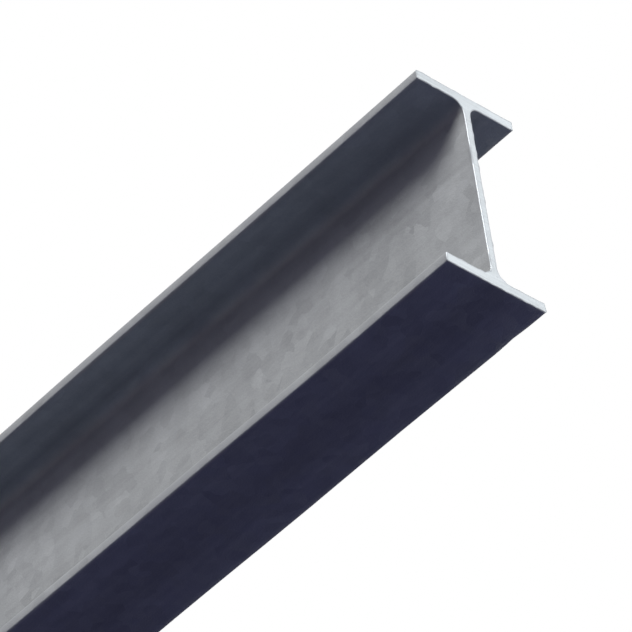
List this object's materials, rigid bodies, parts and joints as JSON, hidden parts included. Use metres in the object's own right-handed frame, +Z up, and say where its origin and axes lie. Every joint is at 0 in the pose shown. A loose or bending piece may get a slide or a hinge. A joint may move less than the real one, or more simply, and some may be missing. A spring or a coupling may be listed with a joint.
{
  "type": "galvanized steel i-beam",
  "caption": "Length of galvanized rolled steel i-beam stock with an upright web, level parallel flanges, small root fillets and square sawn ends.",
  "frame": {"origin": "under the middle of the length, at the centre of the bottom flange's underside", "axes": "+X along the beam, +Y across the flanges, +Z up the web"},
  "size_m": [6, 0.075, 0.15],
  "materials": {
    "zinc_skin": "dull weathered grey zinc over hot-rolled steel, with faint streaks along the rolling direction"
  },
  "bodies": {
    "root": {"i_beam": "zinc_skin"}
  },
  "joints": []
}
